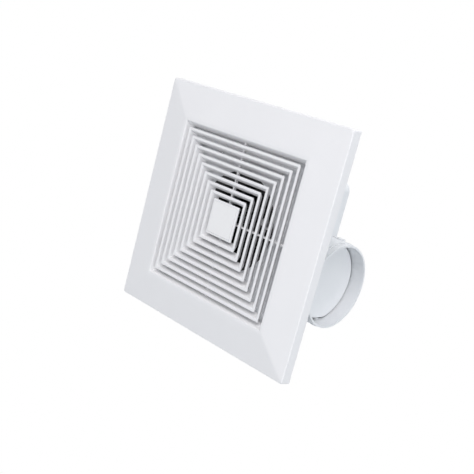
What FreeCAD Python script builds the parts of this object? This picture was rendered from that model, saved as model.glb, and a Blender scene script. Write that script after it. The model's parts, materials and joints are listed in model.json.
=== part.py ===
"""Ceiling exhaust fan: a louvred panel, a scroll housing, a blower wheel and a round duct spigot.

Millimetres, +Z up. The origin is the middle of the ceiling plane, the panel faces -Z into the
room, and the duct spigot points along +X.
"""
import FreeCAD, Part
import Sketcher
import math
import os

ROWS = (
    # alias, number, what it is
    ("panel_size", 280, "front panel, outside, square"),
    ("skirt_depth", 12.5, "panel edge from the ceiling to the start of the bevel"),
    ("skirt_draft", 0.8, "how far the skirt leans in over its depth"),
    ("bevel_rise", 5.2, "drop of the bevelled faces towards the grille"),
    ("panel_wall", 2.4, "wall of the panel frame"),
    ("panel_corner", 2.2, "corner radius of the panel in plan"),
    ("mitre_corner", 0.4, "corner radius where the bevels meet the border"),
    ("panel_edge", 1.8, "radius where skirt and bevel meet"),
    ("border_edge", 0.6, "radius of the frame's inner edge"),
    ("grille_size", 198, "flat border of the frame round the grille, outside"),
    ("grille_play", 0.2, "frame opening wider than the grille"),
    ("border_width", 4, "width of that flat border"),
    ("lip_width", 3.2, "lip of the grille behind the frame"),
    ("lip_thick", 1.4, "thickness of that lip"),
    ("ring_count", 8, "square slat rings"),
    ("slat_width", 2.6, "front edge of a slat"),
    ("slat_depth", 13.8, "depth of a slat"),
    ("slat_lean", 7.5, "how far a slat leans in over its depth"),
    ("plate_size", 41.2, "centre plate of the grille"),
    ("plate_thick", 2, "thickness of the centre plate"),
    ("setback", 1, "centre plate behind the slat edges"),
    ("rib_setback", 2.5, "cross ribs behind the slat edges"),
    ("rib_width", 1.8, "cross ribs between the slats"),
    ("badge_size", 36, "blank badge in the centre plate"),
    ("badge_recess", 0.6, "depth of its seat"),
    ("badge_proud", 0.3, "how far the badge stands out"),
    ("fit_gap", 0.15, "gap round parts that drop into a seat"),
    ("flange_reach", 19, "flange beyond the widest housing wall"),
    ("flange_thick", 3, "flange thickness"),
    ("flange_corner", 8, "flange corner radius"),
    ("screw_inset", 7, "ceiling screw holes from the flange edge"),
    ("screw_hole", 2.3, "radius of a ceiling screw hole"),
    ("shell_room", 1.25, "gap between scroll and housing wall"),
    ("shell_draft", 4, "how far the housing walls lean in over their height"),
    ("shell_corner", 12, "housing corner radius"),
    ("collar_room", 0.5, "housing wall beyond the collar"),
    ("shell_wall", 2.5, "housing wall"),
    ("top_thick", 3, "housing top"),
    ("top_room", 0.2, "housing top above the collar"),
    ("top_edge", 1.8, "bevel round the housing top"),
    ("gusset_reach", 14, "gussets along the flange"),
    ("gusset_height", 26, "height of a gusset"),
    ("gusset_thick", 2.4, "thickness of a gusset"),
    ("well_room", 6, "motor well wider than the motor"),
    ("well_depth", 18, "motor well below the housing top"),
    ("shaft_hole", 12, "radius of the hole in the well floor"),
    ("duct_radius", 49, "spigot lip outside, for 100 mm duct"),
    ("duct_wall", 2.2, "wall of that lip"),
    ("duct_step", 1, "spigot body larger than its lip"),
    ("duct_lip", 6.5, "length of the lip"),
    ("duct_length", 55, "spigot, collar to mouth"),
    ("duct_rise", 6, "collar above the ceiling"),
    ("outlet_ledge", 1.8, "outlet hole smaller than the spigot bore"),
    ("outlet_margin", 3.25, "outlet hole from the scroll wall"),
    ("collar_margin", 3, "collar beyond the spigot lip"),
    ("collar_inset", 11, "collar screws from the collar edge"),
    ("collar_corner", 22, "collar corner radius"),
    ("collar_thick", 3, "collar thickness"),
    ("gasket_thick", 1, "foam gasket behind the collar"),
    ("outlet_pad", 3, "thickened wall round the outlet"),
    ("pad_corner", 4, "corner radius of that wall"),
    ("flap_inset", 18.5, "flap face behind the spigot mouth"),
    ("flap_thick", 2, "flap thickness"),
    ("flap_gap", 1.3, "gap round the flap"),
    ("stop_width", 3.5, "flap stop, inside the spigot bore"),
    ("stop_thick", 2.5, "thickness of the flap stop"),
    ("stop_angle", 60, "half angle of the flap stop, degrees"),
    ("flat_inset", 3.5, "flats at the flap pivots, inside the spigot bore"),
    ("pivot_rise", 7, "flap pivot above the spigot axis"),
    ("pivot_back", 2.6, "flap pivot behind the flap"),
    ("axle_radius", 1.5, "flap axle"),
    ("axle_gap", 0.06, "running gap of the axle"),
    ("barrel_radius", 2.9, "flap barrel round the axle"),
    ("boss_radius", 4.5, "pivot bosses on the spigot"),
    ("boss_reach", 4.6, "pivot to the middle of a boss's front end"),
    ("boss_proud", 2, "how far they stand out of the spigot"),
    ("scroll_room", 10, "scroll beyond the wheel, first quarter"),
    ("outlet_reach", 6, "outlet wall beyond the scroll's first radius"),
    ("scroll_step", 7.5, "growth of the scroll per quarter"),
    ("scroll_wall", 2, "scroll wall"),
    ("inlet_level", 8, "inlet plate, upper face above the ceiling"),
    ("inlet_thick", 2, "inlet plate thickness"),
    ("inlet_play", 0.7, "gap round the inlet plate"),
    ("bell_radius", 16, "bell-mouth ring's curve"),
    ("bell_lip", 5, "straight lip of the bell-mouth"),
    ("bell_seat", 2, "rim of the bell-mouth ring on the inlet plate"),
    ("bell_gap", 2, "gap between that lip and the wheel's inlet ring"),
    ("lip_overlap", 3, "how far the lip stands inside the wheel"),
    ("post_x", 48, "inlet plate posts, along the wall"),
    ("post_inset", 8, "inlet plate screws from the wall"),
    ("post_half", 6, "half width of a post"),
    ("post_height", 13, "height of a post"),
    ("wheel_radius", 54, "blower wheel"),
    ("wheel_gap", 3.5, "wheel below the well floor"),
    ("blade_count", 36, "forward-curved blades"),
    ("blade_depth", 9, "blade, root to tip"),
    ("blade_sweep", 6.6, "how far the blade tip leads its root"),
    ("blade_curve", 9, "blade radius"),
    ("blade_thick", 1.2, "blade thickness"),
    ("disc_thick", 2, "wheel disc"),
    ("ring_height", 2.5, "inlet ring of the wheel"),
    ("ring_width", 8, "inlet ring, inside to outside"),
    ("hub_radius", 9, "wheel hub"),
    ("hub_length", 24, "wheel hub length"),
    ("hub_flare", 4, "flare of the hub at the disc"),
    ("shaft_radius", 4, "motor shaft"),
    ("thread_radius", 3, "threaded end of the shaft"),
    ("bearing_gap", 0.05, "running gap of the bearings"),
    ("bearing_radius", 8, "bearing outside"),
    ("end_play", 1, "gap between rotor core and bearings"),
    ("washer_radius", 8, "impeller washer"),
    ("washer_thick", 1.5, "washer thickness"),
    ("nut_width", 10, "impeller nut across flats"),
    ("nut_height", 5.5, "nut height"),
    ("motor_radius", 38, "motor shields, outside"),
    ("motor_sheet", 1.2, "shield sheet"),
    ("motor_rim", 5, "flange width of the shields"),
    ("stator_bore", 20.5, "stator bore radius"),
    ("stator_height", 20, "lamination stack"),
    ("coil_height", 7, "end windings beyond the stack"),
    ("coil_gap", 1.2, "gap between windings and shields"),
    ("core_over", 1.2, "rotor core beyond the stack"),
    ("air_gap", 0.6, "gap between rotor and stator"),
    ("slot_count", 12, "stator slots"),
    ("slot_width", 4.4, "width of a stator slot"),
    ("yoke_width", 6, "iron behind the stator slots"),
    ("ear_reach", 8, "motor screws beyond the well"),
    ("ear_half", 6, "half width of a motor ear"),
    ("ear_hole", 4.2, "hole for the rubber grommet"),
    ("ear_boss", 8, "depth of the screw bosses under the motor ears"),
    ("grommet_flange", 6, "grommet flange radius"),
    ("grommet_height", 3, "rubber under the motor ears"),
    ("grommet_cap", 2, "rubber above the motor ears"),
    ("vent_count", 8, "vent slots in the upper shield"),
    ("vent_length", 12, "length of a vent slot"),
    ("vent_width", 4, "width of a vent slot"),
    ("box_inset", 8, "terminal box from the housing walls"),
    ("box_length", 52, "terminal box along X"),
    ("box_width", 40, "terminal box along Y"),
    ("box_height", 26, "terminal box height"),
    ("box_wall", 2, "terminal box wall"),
    ("box_corner", 4, "terminal box corner radius"),
    ("lid_thick", 2, "terminal box lid"),
    ("lid_skirt", 2.5, "rim of the lid inside the box"),
    ("lead_hole", 3, "hole for the motor leads"),
    ("cable_radius", 4, "cable hole in the grommet"),
    ("grommet_wall", 2.2, "rubber round the cable hole"),
    ("cable_collar", 3, "collar of that grommet outside the box"),
    ("cable_rise", 13, "cable hole above the housing top"),
    ("spring_reach", 4.8, "panel springs beyond the grille lip"),
    ("spring_offset", 35, "panel springs, sideways"),
    ("spring_wire", 0.9, "spring wire radius"),
    ("spring_lean", 4.5, "lean of a spring arm, degrees"),
    ("spring_arm", 78, "length of a spring arm"),
    ("spring_hook", 5, "radius of the hook at its end"),
    ("pin_radius", 1.8, "panel pin that holds the spring"),
    ("pin_drop", 8.8, "that pin below the ceiling"),
    ("lug_thick", 2, "spring lugs on the panel"),
    ("lug_width", 8, "width of a spring lug"),
    ("spring_gap", 0.3, "gap between pin and spring"),
    ("slot_half", 13, "half length of a spring slot in the flange"),
    ("small_screw", 1.5, "radius of the small screws"),
    ("small_head", 2.9, "radius of their heads"),
    ("head_height", 2, "height of a screw head"),
    ("long_bite", 8, "screw thread in a boss"),
    ("short_bite", 5, "screw thread in a wall"),
    ("screw_gap", 0.2, "gap round a screw in a clearance hole"),
)

doc = FreeCAD.newDocument("CeilingExhaustFan")
sheet = doc.addObject("Spreadsheet::Sheet", "Sizes")
for line, (alias, number, note) in enumerate(ROWS, start=1):
    sheet.set(f"A{line}", alias)
    sheet.set(f"B{line}", str(number))
    sheet.set(f"C{line}", note)
    sheet.setAlias(f"B{line}", alias)
doc.recompute()


class Size:
    """A length together with the spreadsheet expression that it comes from."""

    def __init__(self, value, text):
        self.value = float(value)
        self.text = text

    def __add__(self, other):
        other = as_size(other)
        return Size(self.value + other.value, f"({self.text} + {other.text})")

    def __sub__(self, other):
        other = as_size(other)
        return Size(self.value - other.value, f"({self.text} - {other.text})")

    def __mul__(self, other):
        other = as_size(other)
        return Size(self.value * other.value, f"({self.text} * {other.text})")

    def __truediv__(self, other):
        other = as_size(other)
        return Size(self.value / other.value, f"({self.text} / {other.text})")

    def __radd__(self, other):
        return as_size(other) + self

    def __rsub__(self, other):
        return as_size(other) - self

    def __rmul__(self, other):
        return as_size(other) * self

    def __neg__(self):
        return Size(-self.value, f"(0 - {self.text})")

    def root(self):
        return Size(math.sqrt(self.value), f"sqrt({self.text})")

    def sine(self):
        return Size(math.sin(math.radians(self.value)), f"sin({self.text})")

    def cosine(self):
        return Size(math.cos(math.radians(self.value)), f"cos({self.text})")


class Dimensions:
    """Spreadsheet cells by alias, each as a Size."""

    def __getattr__(self, alias):
        return Size(sheet.get(alias), f"Sizes.{alias}")


def as_size(number):
    return number if isinstance(number, Size) else Size(number, f"{number:g}")


def half_chord(radius, offset):
    """Half the chord of a circle, offset from its middle."""
    return (radius * radius - offset * offset).root()


d = Dimensions()


class Drawing:
    """A sketch on an origin plane of a body; every point is placed from the origin by sizes."""

    def __init__(self, body, plane="XY_Plane", level=0):
        self.sketch = body.newObject("Sketcher::SketchObject", body.Name + "Sketch")
        support = next(f for f in body.Origin.OriginFeatures if f.Role == plane)
        self.sketch.AttachmentSupport = (support, [""])
        self.sketch.MapMode = "FlatFace"
        self.sketch.setExpression("AttachmentOffset.Base.z", as_size(level).text)

    def bind(self, constraint, amount):
        number = self.sketch.addConstraint(constraint)
        self.sketch.setExpression(f"Constraints[{number}]", amount.text)

    def place(self, geometry, vertex, x, y):
        x, y = as_size(x), as_size(y)
        self.bind(Sketcher.Constraint("DistanceX", -1, 1, geometry, vertex, x.value), x)
        self.bind(Sketcher.Constraint("DistanceY", -1, 1, geometry, vertex, y.value), y)

    def circle(self, x, y, radius):
        x, y, radius = as_size(x), as_size(y), as_size(radius)
        middle = FreeCAD.Vector(x.value, y.value, 0)
        ring = self.sketch.addGeometry(Part.Circle(middle, FreeCAD.Vector(0, 0, 1), radius.value))
        self.place(ring, 3, x, y)
        self.bind(Sketcher.Constraint("Radius", ring, radius.value), radius)
        return self

    def path(self, nodes, closed=True):
        """Lines and arcs through nodes (x, y) or (x, y, radius): a node with a radius starts an arc,
        anticlockwise for a positive radius and clockwise for a negative one."""
        steps = len(nodes) if closed else len(nodes) - 1
        ends = []
        for step in range(steps):
            start, stop = nodes[step], nodes[(step + 1) % len(nodes)]
            head = FreeCAD.Vector(as_size(start[0]).value, as_size(start[1]).value, 0)
            tail = FreeCAD.Vector(as_size(stop[0]).value, as_size(stop[1]).value, 0)
            if len(start) == 2:
                edge = self.sketch.addGeometry(Part.LineSegment(head, tail))
                ends.append((edge, 1, 2))
                continue
            bend = as_size(start[2])
            radius = bend if bend.value > 0 else -bend
            if bend.value < 0:
                head, tail = tail, head
            chord = tail - head
            rise = math.sqrt(max(radius.value ** 2 - chord.Length ** 2 / 4, 0))
            across = FreeCAD.Vector(-chord.y, chord.x, 0).normalize()
            middle = (head + tail) * 0.5 + across * rise
            angles = [math.atan2(p.y - middle.y, p.x - middle.x) for p in (head, tail)]
            ring = Part.Circle(middle, FreeCAD.Vector(0, 0, 1), radius.value)
            edge = self.sketch.addGeometry(Part.ArcOfCircle(ring, angles[0], angles[1]))
            ends.append((edge, 1, 2) if bend.value > 0 else (edge, 2, 1))
            self.bind(Sketcher.Constraint("Radius", edge, radius.value), radius)
        for step, (edge, first, last) in enumerate(ends):
            self.place(edge, first, nodes[step][0], nodes[step][1])
            if step + 1 < len(ends) or closed:
                following, start_vertex, _ = ends[(step + 1) % len(ends)]
                self.sketch.addConstraint(
                    Sketcher.Constraint("Coincident", edge, last, following, start_vertex))
            else:
                self.place(edge, last, nodes[-1][0], nodes[-1][1])
        return self

    def rectangle(self, left, bottom, right, top):
        return self.path([(left, bottom), (right, bottom), (right, top), (left, top)])

    def rounded(self, left, bottom, right, top, radius):
        """A rectangle with rounded corners."""
        radius = as_size(radius)
        return self.path([
            (left + radius, bottom), (right - radius, bottom, radius),
            (right, bottom + radius), (right, top - radius, radius),
            (right - radius, top), (left + radius, top, radius),
            (left, top - radius), (left, bottom + radius, radius)])

    def square(self, half, radius=None):
        """A square about the origin, sharp or with rounded corners."""
        if radius is None:
            return self.rectangle(-half, -half, half, half)
        return self.rounded(-half, -half, half, half, radius)


def new_body(label):
    body = doc.addObject("PartDesign::Body", label)
    body.Label = label
    return body


def pad(body, drawing, length, back=False):
    """Extrude a drawing along its normal, or against it."""
    feature = body.newObject("PartDesign::Pad", body.Name + "Pad")
    feature.Profile = drawing.sketch
    feature.setExpression("Length", as_size(length).text)
    feature.Reversed = back
    return feature


def pocket(body, drawing, length, along=False):
    """Cut a drawing against its normal, or along it."""
    feature = body.newObject("PartDesign::Pocket", body.Name + "Pocket")
    feature.Profile = drawing.sketch
    feature.setExpression("Length", as_size(length).text)
    feature.Reversed = along
    return feature


def loft(body, drawings, cut=False):
    """Ruled walls between drawings at different levels."""
    kind = "PartDesign::SubtractiveLoft" if cut else "PartDesign::AdditiveLoft"
    feature = body.newObject(kind, body.Name + "Loft")
    feature.Profile = drawings[0].sketch
    feature.Sections = [drawing.sketch for drawing in drawings[1:]]
    feature.Ruled = True
    return feature


def revolve(body, drawing):
    """Turn a drawing round its vertical axis."""
    feature = body.newObject("PartDesign::Revolution", body.Name + "Turn")
    feature.Profile = drawing.sketch
    feature.ReferenceAxis = (drawing.sketch, ["V_Axis"])
    feature.Angle = 360
    return feature


def repeat(body, features, count):
    """Repeat features round the body's Z axis."""
    doc.recompute()
    pattern = body.newObject("PartDesign::PolarPattern", body.Name + "Pattern")
    pattern.Originals = features
    axis = next(f for f in body.Origin.OriginFeatures if f.Role == "Z_Axis")
    pattern.Axis = (axis, [""])
    pattern.Angle = 360
    pattern.setExpression("Occurrences", as_size(count).text)
    body.Tip = pattern
    return pattern


def soften(body, radius, chosen, flat=False):
    """Fillet, or chamfer, the edges of the body that pass a test."""
    doc.recompute()
    base = body.Tip
    names = [f"Edge{n}" for n, edge in enumerate(base.Shape.Edges, start=1) if chosen(edge)]
    kind = "PartDesign::Chamfer" if flat else "PartDesign::Fillet"
    feature = body.newObject(kind, body.Name + "Edge")
    feature.Base = (base, names)
    feature.setExpression("Size" if flat else "Radius", as_size(radius).text)
    return feature


def lies_at(axis, level):
    """A test for edges that lie wholly in the plane axis = level."""
    def test(edge):
        box = edge.BoundBox
        low, high = getattr(box, axis + "Min"), getattr(box, axis + "Max")
        return abs(low - level.value) < 0.01 and abs(high - level.value) < 0.01
    return test


def cross(x, y, reach, width):
    """Twelve corners of a cross recess."""
    a, b = as_size(reach), as_size(width) / 2
    return [(x - b, y - a), (x + b, y - a), (x + b, y - b), (x + a, y - b), (x + a, y + b), (x + b, y + b),
            (x + b, y + a), (x - b, y + a), (x - b, y + b), (x - a, y + b), (x - a, y - b), (x - b, y - b)]


def screws(label, spots, plane, level, shank_radius, shank_length, head_radius, head_back=False):
    """A group of cross-recessed pan-head screws, one solid at each spot; the heads sit on the level
    plane and stand along its normal, or against it."""
    body = new_body(label)
    heads, shanks = Drawing(body, plane, level), Drawing(body, plane, level)
    top = level - d.head_height if head_back else level + d.head_height
    recess = Drawing(body, plane, top)
    for x, y in spots:
        heads.circle(x, y, head_radius)
        shanks.circle(x, y, shank_radius)
        recess.path(cross(x, y, head_radius * 0.55, head_radius * 0.28))
    pad(body, heads, d.head_height, back=head_back)
    pad(body, shanks, shank_length, back=not head_back)
    soften(body, head_radius * 0.3, lies_at("Z" if plane == "XY_Plane" else "X", top))
    pocket(body, recess, d.head_height * 0.6, along=head_back)
    return body


# Positions that follow from the sizes
scroll_first = d.wheel_radius + d.scroll_room
shift = d.scroll_step / 2
quarter = [scroll_first + n * d.scroll_step for n in range(3)]
top_y = shift + quarter[2]
duct_bore = d.duct_radius - d.duct_wall
outlet_radius = duct_bore - d.outlet_ledge
collar_half = d.duct_radius + d.collar_margin
duct_y = top_y - d.outlet_margin - outlet_radius
duct_z = d.duct_rise + collar_half
shell_side = d.scroll_wall + d.shell_room + d.shell_draft + d.shell_wall
shell_right = scroll_first + d.outlet_reach
shell_left = shift + quarter[1] + shell_side
shell_front = shift + quarter[0] + shell_side
shell_back = duct_y + collar_half + d.shell_corner + d.shell_draft + d.collar_room
shell_height = duct_z + collar_half + d.top_edge + d.top_room
duct_mouth = shell_right + d.gasket_thick + d.duct_length
flange_half = shell_back + d.flange_reach
well_radius = d.motor_radius + d.well_room
ear_radius = well_radius + d.ear_reach
spring_y = d.grille_size / 2 + d.lip_width + d.spring_reach
box_x = d.box_inset + d.shell_draft + d.box_length / 2 - shell_left
box_y = shell_back - d.shell_draft - d.box_inset - d.box_width / 2

# Front panel: a square frame with bevelled faces, hollow behind
panel_half = d.panel_size / 2
face_level = -(d.skirt_depth + d.bevel_rise)
border_half = d.grille_size / 2
louvre_half = border_half - d.border_width
opening_half = louvre_half + d.grille_play
seat_level = face_level + d.panel_wall
seat_half = d.grille_size / 2 + d.lip_width + d.panel_wall
shoulder_half = panel_half - d.skirt_draft
hollow_corner = d.panel_corner * 0.4

frame = new_body("panel_frame")
loft(frame, [
    Drawing(frame).square(panel_half, d.panel_corner),
    Drawing(frame, level=-d.skirt_depth).square(shoulder_half, d.panel_corner),
    Drawing(frame, level=face_level).square(border_half, d.mitre_corner)])
soften(frame, d.panel_edge, lies_at("Z", -d.skirt_depth))
loft(frame, [
    Drawing(frame).square(panel_half - d.panel_wall, hollow_corner),
    Drawing(frame, level=d.panel_wall - d.skirt_depth).square(shoulder_half - d.panel_wall, hollow_corner),
    Drawing(frame, level=seat_level).square(seat_half, d.mitre_corner)], cut=True)
pocket(frame, Drawing(frame).square(opening_half), d.panel_wall - face_level)


def at_opening(edge):
    """The four front edges of the frame's opening."""
    box = edge.BoundBox
    inside = max(abs(v) for v in (box.XMin, box.XMax, box.YMin, box.YMax)) < opening_half.value + 0.01
    return inside and lies_at("Z", face_level)(edge)


soften(frame, d.border_edge, at_opening)
pin_level = -d.pin_drop
lug_root = seat_level - d.panel_wall * 0.2
lug_inner = d.spring_wire + d.spring_gap * 3
lugs = Drawing(frame, level=lug_root)
for side in (-1, 1):
    near, far = spring_y + side * lug_inner, spring_y + side * (lug_inner + d.lug_thick)
    low, high = (near, far) if side > 0 else (far, near)
    lugs.rectangle(-d.spring_offset - d.lug_width / 2, low, -d.spring_offset + d.lug_width / 2, high)
lug_pad = pad(frame, lugs, pin_level + d.pin_radius - lug_root)
pin = Drawing(frame, "XZ_Plane", -(spring_y + lug_inner + d.lug_thick / 2)).circle(
    -d.spring_offset, pin_level, d.pin_radius)
pin_pad = pad(frame, pin, lug_inner * 2 + d.lug_thick)
repeat(frame, [lug_pad, pin_pad], 2)

# Louvre grille: square slat rings that lean inwards, joined by a cross of ribs
grille = new_body("louvre_grille")
plate_half = d.plate_size / 2
plate_level = face_level + d.setback
back_level = face_level + d.slat_depth
slat_gap = (louvre_half - plate_half - d.ring_count * d.slat_width) / (d.ring_count + 1)


def slat_ring(front_half, level):
    """One leaning square ring, its front edge outside at front_half."""
    rear_half = front_half - d.slat_lean * (back_level - level) / d.slat_depth
    loft(grille, [
        Drawing(grille, level=level).square(front_half).square(front_half - d.slat_width),
        Drawing(grille, level=back_level).square(rear_half).square(rear_half - d.slat_width)])


rib_half = d.rib_width / 2
rib_level = face_level + d.rib_setback
rib_depth = d.slat_depth - d.rib_setback
for x, y in ((louvre_half, rib_half), (rib_half, louvre_half)):
    pad(grille, Drawing(grille, level=rib_level).rectangle(-x, -y, x, y), rib_depth)
pad(grille, Drawing(grille, level=seat_level).square(
    d.grille_size / 2 + d.lip_width, hollow_corner).square(louvre_half), d.lip_thick)
slat_ring(louvre_half + d.slat_width, seat_level)
for ring in range(int(d.ring_count.value)):
    slat_ring(louvre_half - (ring + 1) * slat_gap - ring * d.slat_width, face_level)
pad(grille, Drawing(grille, level=plate_level).square(plate_half), d.plate_thick)
slat_ring(plate_half, plate_level)
badge_half = d.badge_size / 2
pocket(grille, Drawing(grille, level=plate_level).square(badge_half + d.fit_gap), d.badge_recess, along=True)

badge = new_body("centre_badge")
badge_front = plate_level - d.badge_proud
pad(badge, Drawing(badge, level=badge_front).square(badge_half), d.badge_recess + d.badge_proud)
soften(badge, d.badge_proud * 0.8, lies_at("Z", badge_front), flat=True)

# Panel springs: wire hairpins that hang from the panel pins and pass up through the flange
springs = new_body("panel_springs")
bend = d.pin_radius + d.spring_gap + d.spring_wire
lean_x, lean_y = bend * d.spring_lean.cosine(), bend * d.spring_lean.sine()
arm_x = lean_x + d.spring_arm * d.spring_lean.sine()
arm_y = pin_level - lean_y + d.spring_arm * d.spring_lean.cosine()
hook_x = arm_x + d.spring_hook * d.spring_lean.cosine()
hook_y = arm_y - d.spring_hook * d.spring_lean.sine() + d.spring_hook
middle = -d.spring_offset
wire_path = Drawing(springs, "XZ_Plane", -spring_y).path([
    (middle + hook_x, hook_y, d.spring_hook), (middle + arm_x, arm_y),
    (middle + lean_x, pin_level - lean_y, -bend), (middle - lean_x, pin_level - lean_y),
    (middle - arm_x, arm_y, d.spring_hook), (middle - hook_x, hook_y)], closed=False)
wire = springs.newObject("PartDesign::AdditivePipe", "SpringWire")
wire.Profile = Drawing(springs, "YZ_Plane", middle + hook_x).circle(
    spring_y, hook_y, d.spring_wire).sketch
wire.Spine = (wire_path.sketch, [])
repeat(springs, [wire], 2)

# Housing shell: flange, drafted tub, motor well and outlet
shell = new_body("housing_shell")
inner_top = shell_height - d.top_thick


def shell_outline(level, inset, lean, corner):
    return Drawing(shell, level=level).rounded(
        inset + lean - shell_left, inset + lean - shell_front,
        shell_right - inset, shell_back - inset - lean, corner)


loft(shell, [shell_outline(0, as_size(0), as_size(0), d.shell_corner),
             shell_outline(shell_height - d.top_edge, as_size(0), d.shell_draft, d.shell_corner),
             shell_outline(shell_height, d.top_edge, d.shell_draft, d.shell_corner - d.top_edge)])
pad(shell, Drawing(shell, level=-d.flange_thick).square(flange_half, d.flange_corner), d.flange_thick)
gusset_root = d.shell_wall * 0.7
left_gussets, side_gussets = (-45, 20, 75), (-60, 0, 50)
for plane, wall, spots in (
        ("XZ_Plane", -shell_left, left_gussets), ("YZ_Plane", -shell_front, side_gussets),
        ("YZ_Plane", shell_back, side_gussets)):
    side = -1 if wall.value < 0 else 1
    for spot in spots:
        level = as_size(spot) if plane == "YZ_Plane" else as_size(-spot)
        rib = Drawing(shell, plane, level - d.gusset_thick / 2).path([
            (wall - side * gusset_root, 0), (wall + side * d.gusset_reach, 0),
            (wall + side * d.gusset_reach, d.gusset_thick), (wall, d.gusset_height),
            (wall - side * gusset_root, d.gusset_height)])
        pad(shell, rib, d.gusset_thick)
inner_corner = d.shell_corner - d.shell_wall
loft(shell, [shell_outline(-d.flange_thick, d.shell_wall, as_size(0), inner_corner),
             shell_outline(inner_top, d.shell_wall, d.shell_draft, inner_corner)], cut=True)
well_floor = shell_height - d.well_depth
well_under = well_floor - d.shell_wall
pad(shell, Drawing(shell, level=well_under).circle(0, 0, well_radius + d.shell_wall),
    d.well_depth + d.shell_wall)
pocket(shell, Drawing(shell, level=shell_height).circle(0, 0, well_radius), d.well_depth)
pocket(shell, Drawing(shell, level=well_floor).circle(0, 0, d.shaft_hole), d.shell_wall)

outlet_inner = shell_right - d.shell_wall - d.outlet_pad
pad(shell, Drawing(shell, "YZ_Plane", outlet_inner).rounded(
    duct_y - collar_half, d.inlet_level, duct_y + collar_half,
    inner_top, d.pad_corner), d.outlet_pad + d.shell_wall / 2)
collar_screw = collar_half - d.collar_inset
collar_spots = [(duct_y + y * collar_screw, duct_z + z * collar_screw)
                for y, z in ((-1, -1), (1, -1), (1, 1), (-1, 1))]
outlet = Drawing(shell, "YZ_Plane", shell_right).circle(duct_y, duct_z, outlet_radius)
pilots = Drawing(shell, "YZ_Plane", shell_right)
for y, z in collar_spots:
    pilots.circle(y, z, d.small_screw)
pocket(shell, outlet, d.shell_wall + d.outlet_pad)
pocket(shell, pilots, d.shell_wall + d.outlet_pad)

post_spots = [(x * d.post_x, y) for x in (-1, 1)
              for y in (d.post_inset - shell_front, shell_back - d.post_inset)]
posts = Drawing(shell, level=d.inlet_level)
for x, y in post_spots:
    root = d.post_half + d.shell_wall * (0.4 if y.value < 0 else 0.2)
    outside = y - root if y.value < 0 else y + root
    inside = y + d.post_half if y.value < 0 else y - d.post_half
    low, high = (outside, inside) if y.value < 0 else (inside, outside)
    posts.rectangle(x - d.post_half, low, x + d.post_half, high)
pad(shell, posts, d.post_height)
post_pilots = Drawing(shell, level=d.inlet_level)
for x, y in post_spots:
    post_pilots.circle(x, y, d.small_screw)
pocket(shell, post_pilots, d.post_height - d.shell_wall, along=True)

ear_boss = pad(shell, Drawing(shell, level=inner_top - d.ear_boss).circle(0, -ear_radius, d.small_screw * 3),
               d.ear_boss + d.top_thick * 0.2)
ear_pilot = pocket(shell, Drawing(shell, level=shell_height).circle(0, -ear_radius, d.small_screw),
                   d.ear_boss + d.top_thick * 0.6)
repeat(shell, [ear_boss, ear_pilot], 3)

screw_half = flange_half - d.screw_inset
ceiling_spots = [(x * screw_half, y * screw_half)
                 for x, y in ((-1, -1), (1, -1), (1, 1), (-1, 1))]
flange_holes = Drawing(shell)
for x, y in ceiling_spots:
    flange_holes.circle(x, y, d.screw_hole)
slot_side = d.spring_wire + d.spring_gap
for side in (-1, 1):
    x, y = -side * d.spring_offset, side * spring_y
    flange_holes.rectangle(x - d.slot_half, y - slot_side, x + d.slot_half, y + slot_side)
pocket(shell, flange_holes, d.flange_thick)

box_left, box_right = box_x - d.box_length / 2, box_x + d.box_length / 2
box_low, box_high = box_y - d.box_width / 2, box_y + d.box_width / 2
box_corner = d.box_wall + d.small_head * 1.4
box_spots = [(box_left + box_corner, box_high - box_corner), (box_right - box_corner, box_low + box_corner)]
wire_hole = (box_right - d.lead_hole * 2.4, box_y)
box_seat = Drawing(shell, level=shell_height).circle(*wire_hole, d.lead_hole)
for x, y in box_spots:
    box_seat.circle(x, y, d.small_screw)
pocket(shell, box_seat, d.top_thick)

# Scroll wall: three growing quarter arcs, a tongue and a straight run to the outlet
scroll = new_body("scroll_wall")
thick = d.scroll_wall
tongue = duct_y - outlet_radius - d.shell_room
scroll_end = outlet_inner - d.screw_gap
nose = half_chord(quarter[0], tongue + shift) - shift
heel = half_chord(quarter[0] + thick, tongue - thick + shift) - shift
pad(scroll, Drawing(scroll, level=d.inlet_level).path([
    (scroll_end, tongue), (nose, tongue, -quarter[0]), (-shift, -shift - quarter[0], -quarter[1]),
    (-shift - quarter[1], shift, -quarter[2]), (shift, top_y), (scroll_end, top_y),
    (scroll_end, top_y + thick), (shift, top_y + thick, quarter[2] + thick),
    (-shift - quarter[1] - thick, shift, quarter[1] + thick),
    (-shift, -shift - quarter[0] - thick, quarter[0] + thick),
    (heel, tongue - thick), (scroll_end, tongue - thick)]), inner_top - d.inlet_level - d.screw_gap)

# Inlet plate, and the bell-mouth ring that rests in it
inlet = new_body("inlet_plate")
inlet_under = d.inlet_level - d.inlet_thick
inlet_inset = d.shell_wall + d.inlet_play
throat_radius = d.wheel_radius - d.ring_width - d.bell_gap - d.inlet_thick
bell_outer = throat_radius + d.bell_radius
bell_top = inlet_under + d.bell_radius
lip_top = bell_top + d.bell_lip
throat_out = throat_radius + d.inlet_thick
pad(inlet, Drawing(inlet, level=inlet_under).rounded(
    inlet_inset - shell_left, inlet_inset - shell_front, shell_right - inlet_inset,
    shell_back - inlet_inset, inner_corner).circle(0, 0, bell_outer + d.fit_gap), d.inlet_thick)
bell = new_body("inlet_ring")
rim_top = d.inlet_level + d.bell_seat * 0.6
revolve(bell, Drawing(bell, "XZ_Plane").path([
    (bell_outer, inlet_under, -d.bell_radius), (throat_radius, bell_top), (throat_radius, lip_top),
    (throat_out, lip_top), (throat_out, bell_top, bell_top - rim_top),
    (throat_out + bell_top - rim_top, rim_top), (bell_outer + d.bell_seat, rim_top),
    (bell_outer + d.bell_seat, d.inlet_level), (bell_outer, d.inlet_level)]))
inlet_holes = Drawing(inlet, level=d.inlet_level)
for x, y in post_spots:
    inlet_holes.circle(x, y, d.small_screw + d.screw_gap)
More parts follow.
